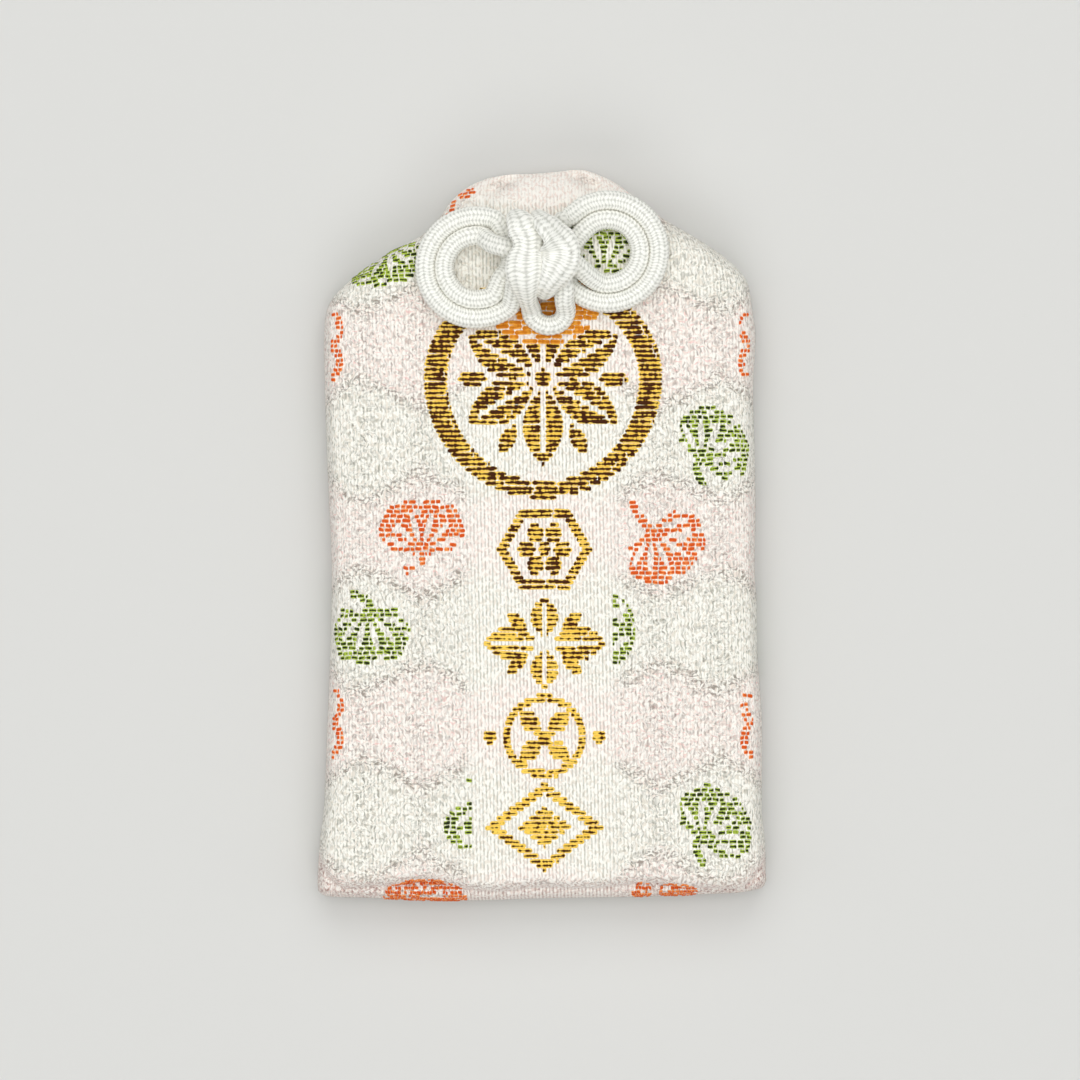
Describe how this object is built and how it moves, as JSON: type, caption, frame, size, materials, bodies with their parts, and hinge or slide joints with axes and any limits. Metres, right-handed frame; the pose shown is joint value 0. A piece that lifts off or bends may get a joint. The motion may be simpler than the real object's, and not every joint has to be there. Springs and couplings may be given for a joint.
{
  "type": "omamori charm",
  "caption": "Flat house-shaped brocade amulet pouch with a card and a wrapped slip inside, closed at the neck by a braided cord tied in a double-eared knot.",
  "frame": {"origin": "middle of the flat back, where the charm lies on a surface", "axes": "+Y towards the neck, +Z out of the front, +X to the right as seen from the front"},
  "size_m": [0.0458, 0.075, 0.0122],
  "materials": {
    "brocade": "pale pink and white figured silk brocade with coloured weft floats",
    "interlining": "plain stiff interlining",
    "sewing_thread": "fine spun thread",
    "card": "plain grey-brown board",
    "paper": "soft white folded paper",
    "slip_wood": "plain planed wood, blank",
    "cord": "white braided cord with a soft sheen"
  },
  "bodies": {
    "pouch": {"front_panel": "brocade", "back_panel": "brocade", "front_lining": "interlining", "back_lining": "interlining", "left_seam_thread": "sewing_thread", "right_seam_thread": "sewing_thread", "bottom_seam_thread": "sewing_thread", "stiffener_card": "card", "paper_sleeve": "paper", "neck_cord": "cord"},
    "knot": {"knot_cord": "cord"},
    "slip": {"prayer_slip": "slip_wood"}
  },
  "joints": [
    {"name": "knot_lift", "type": "hinge", "parent": "pouch", "child": "knot", "pos_m": [0.0003, 0.0334, 0.00732], "axis": [-1, 0, 0], "range_deg": [0, 90]},
    {"name": "slip_shift", "type": "slide", "parent": "pouch", "child": "slip", "axis": [0, 1, 0], "range_m": [0, 0.002]}
  ]
}
